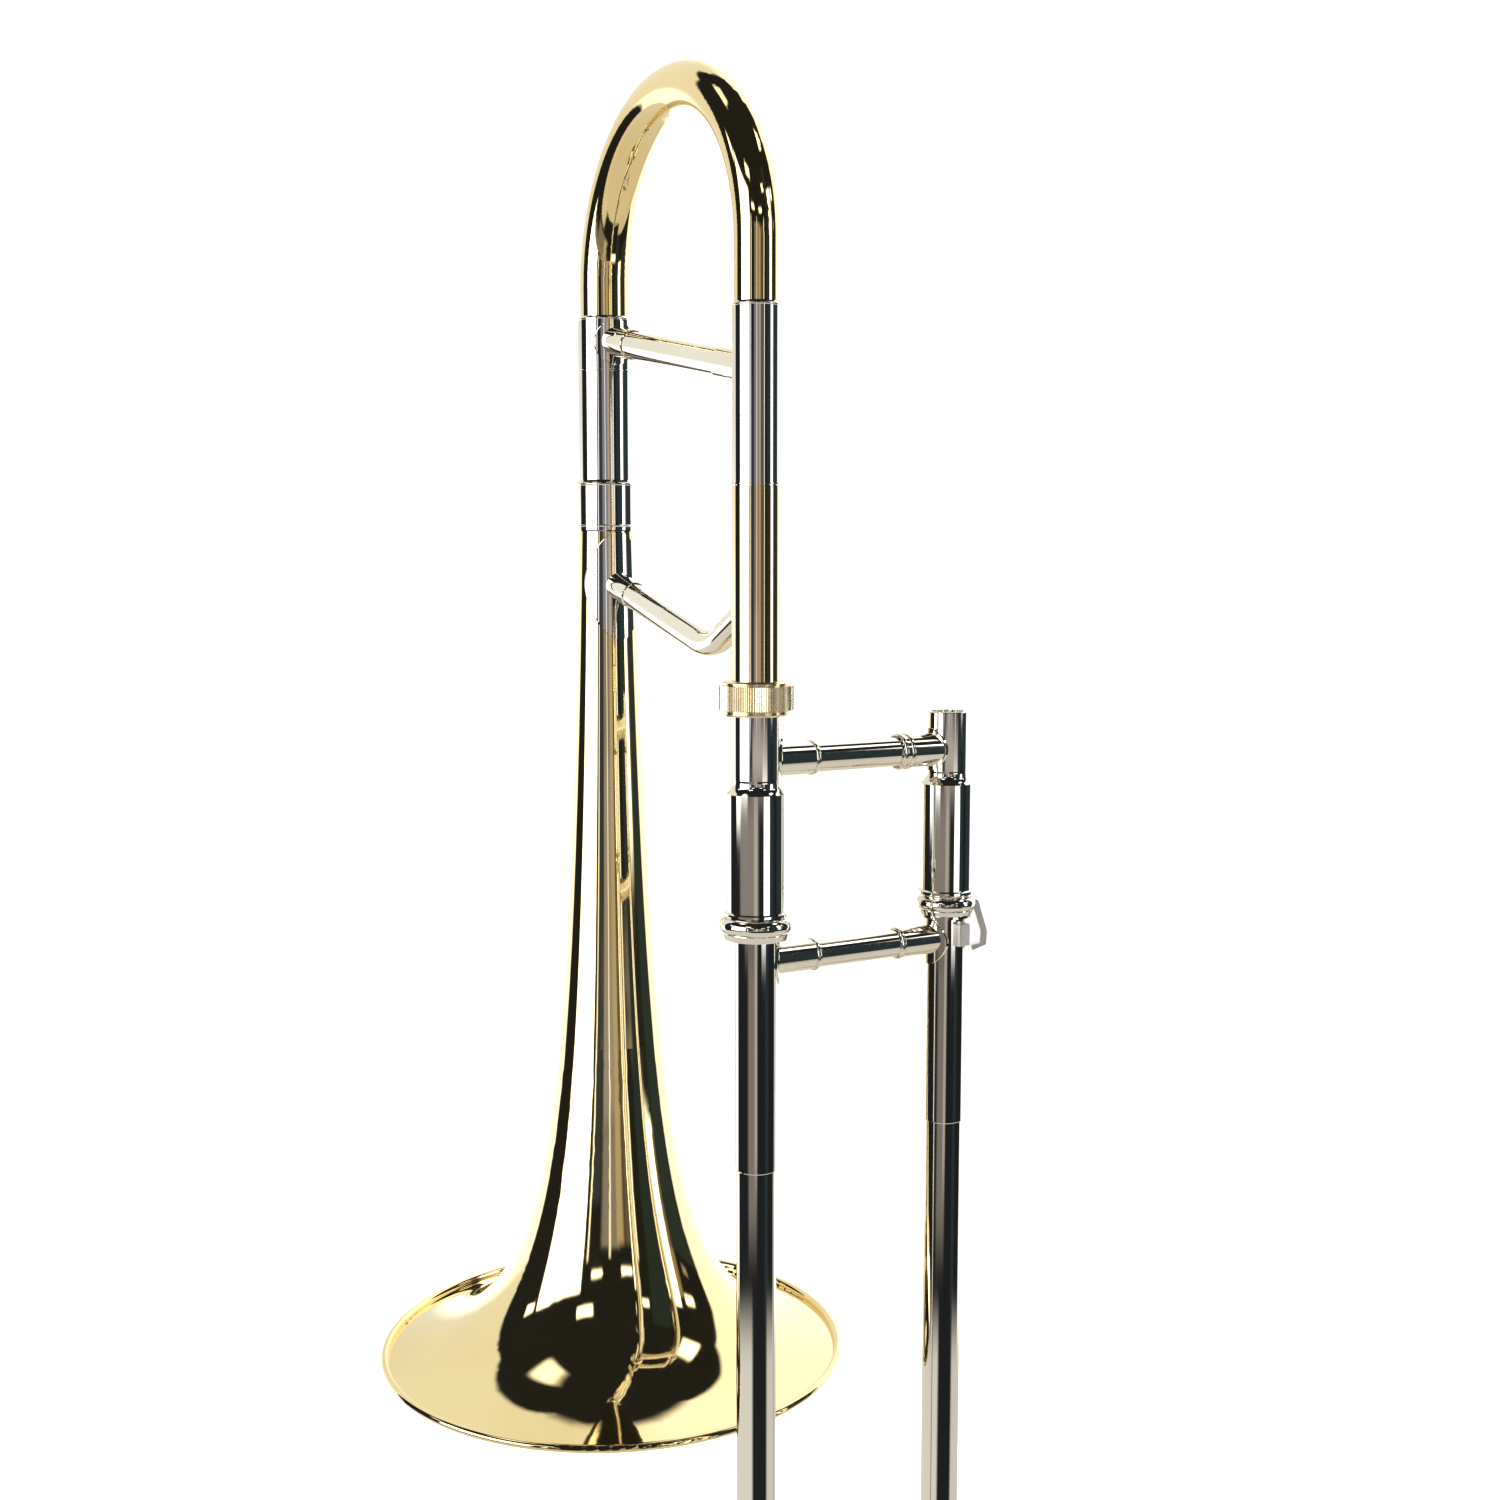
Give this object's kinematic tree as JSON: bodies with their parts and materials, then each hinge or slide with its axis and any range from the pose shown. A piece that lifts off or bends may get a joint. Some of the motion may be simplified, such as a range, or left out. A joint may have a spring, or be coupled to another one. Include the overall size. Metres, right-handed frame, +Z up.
{
  "type": "tenor slide trombone",
  "caption": "Straight tenor trombone standing bell down, with a hand slide beside its bell, a tuning bow on top and an empty mouthpiece receiver.",
  "frame": {"origin": "on the bell's axis in the plane of its mouth, where a stand's peg enters", "axes": "+Z runs up along every tube, from the bell's mouth to the tuning bow. -Y points from the bell to the neckpipe. +X points roughly from the neckpipe to the mouthpiece receiver, which is turned 2 degrees towards +Y."},
  "size_m": [0.2043, 0.2473, 1.0583],
  "materials": {
    "yellow_brass": "mirror polished and clear lacquered",
    "wire_brass": "plain drawn wire",
    "gold_brass": "polished reddish brass, clear lacquered",
    "knurled_brass": "pale brass with a fine knurl, lacquered",
    "nickel_silver": "polished nickel silver, clear lacquered",
    "brace_nickel": "polished nickel silver, clear lacquered",
    "plated_tube": "smooth bright plating",
    "leadpipe_brass": "drawn, unlacquered",
    "key_nickel": "polished nickel silver",
    "pin_steel": "bright steel",
    "felt_cork": "dense dark felt",
    "key_cork": "cut cork",
    "bumper_rubber": "matte"
  },
  "bodies": {
    "bell_section": {"bell_flare": "yellow_brass", "bell_stem": "yellow_brass", "bell_rim_wire": "wire_brass", "bell_ferrule": "nickel_silver", "tuning_receiver": "nickel_silver", "bell_brace_saddle": "brace_nickel", "bell_brace_cup": "brace_nickel", "bell_brace_tube": "brace_nickel", "neck_brace_saddle": "brace_nickel", "neckpipe": "gold_brass", "neck_tuning_leg": "nickel_silver"},
    "lock_nut": {"bell_lock_nut": "knurled_brass"},
    "tuning_slide": {"tuning_bow": "yellow_brass", "tuning_bow_ferrule": "nickel_silver", "tuning_leg_large": "nickel_silver", "tuning_sleeve": "nickel_silver", "tuning_brace_tube": "brace_nickel", "tuning_brace_cup_large": "brace_nickel", "tuning_brace_cup_small": "brace_nickel", "tuning_brace_saddle_large": "brace_nickel", "tuning_brace_saddle_small": "brace_nickel"},
    "inner_slide": {"slide_tenon": "nickel_silver", "neck_cork_barrel": "nickel_silver", "neck_barrel_ring": "nickel_silver", "mouth_cork_barrel": "nickel_silver", "mouthpiece_receiver": "nickel_silver", "leadpipe": "leadpipe_brass", "neck_inner_tube": "plated_tube", "mouth_inner_tube": "plated_tube", "neck_stocking": "plated_tube", "mouth_stocking": "plated_tube", "barrel_corks": "felt_cork", "upper_brace_tube": "brace_nickel", "upper_brace_cup_neck": "brace_nickel", "upper_brace_cup_mouth": "brace_nickel", "upper_brace_saddle_neck": "brace_nickel", "upper_brace_saddle_mouth": "brace_nickel", "lock_ring_spigot": "nickel_silver", "lock_ring_retainer": "nickel_silver"},
    "slide_lock": {"lock_ring": "nickel_silver", "lock_hook": "nickel_silver"},
    "hand_slide": {"neck_outer_tube": "nickel_silver", "mouth_outer_tube": "nickel_silver", "neck_oversleeve": "nickel_silver", "mouth_oversleeve": "nickel_silver", "lower_brace_tube": "brace_nickel", "lower_brace_cups": "brace_nickel", "lower_brace_saddles": "brace_nickel", "lock_catch": "nickel_silver", "end_bow": "nickel_silver", "end_bow_ferrules": "nickel_silver", "end_bow_guard": "nickel_silver", "bumper_cup": "nickel_silver", "bumper": "bumper_rubber", "water_key_nipple": "key_nickel", "water_key_saddle": "key_nickel", "water_key_pin": "pin_steel", "water_key_spring": "pin_steel"},
    "water_key": {"water_key_lever": "key_nickel", "water_key_cork": "key_cork"}
  },
  "joints": [
    {"name": "tuning_slide_pull", "type": "slide", "parent": "bell_section", "child": "tuning_slide", "axis": [0, 0, 1], "range_m": [0, 0.045]},
    {"name": "lock_nut_turn", "type": "hinge", "parent": "bell_section", "child": "lock_nut", "pos_m": [0, -0.132, 0.2974], "axis": [0, 0, 1], "continuous": true},
    {"name": "slide_swivel", "type": "hinge", "parent": "bell_section", "child": "inner_slide", "pos_m": [0, -0.132, 0.3], "axis": [0, 0, -1], "range_deg": [-25, 205]},
    {"name": "hand_slide_travel", "type": "slide", "parent": "inner_slide", "child": "hand_slide", "axis": [0, 0, -1], "range_m": [0, 0.585]},
    {"name": "slide_lock_turn", "type": "hinge", "parent": "inner_slide", "child": "slide_lock", "pos_m": [0.08695, -0.12896, 0.213], "axis": [0, 0, -1], "range_deg": [0, 56]},
    {"name": "water_key_press", "type": "hinge", "parent": "hand_slide", "child": "water_key", "pos_m": [-0.01239, -0.13243, -0.452], "axis": [-0.0349, 0.9994, 0], "range_deg": [0, 12], "stiffness_Nm_per_rad": 0.08, "springref_deg": -20.05}
  ]
}
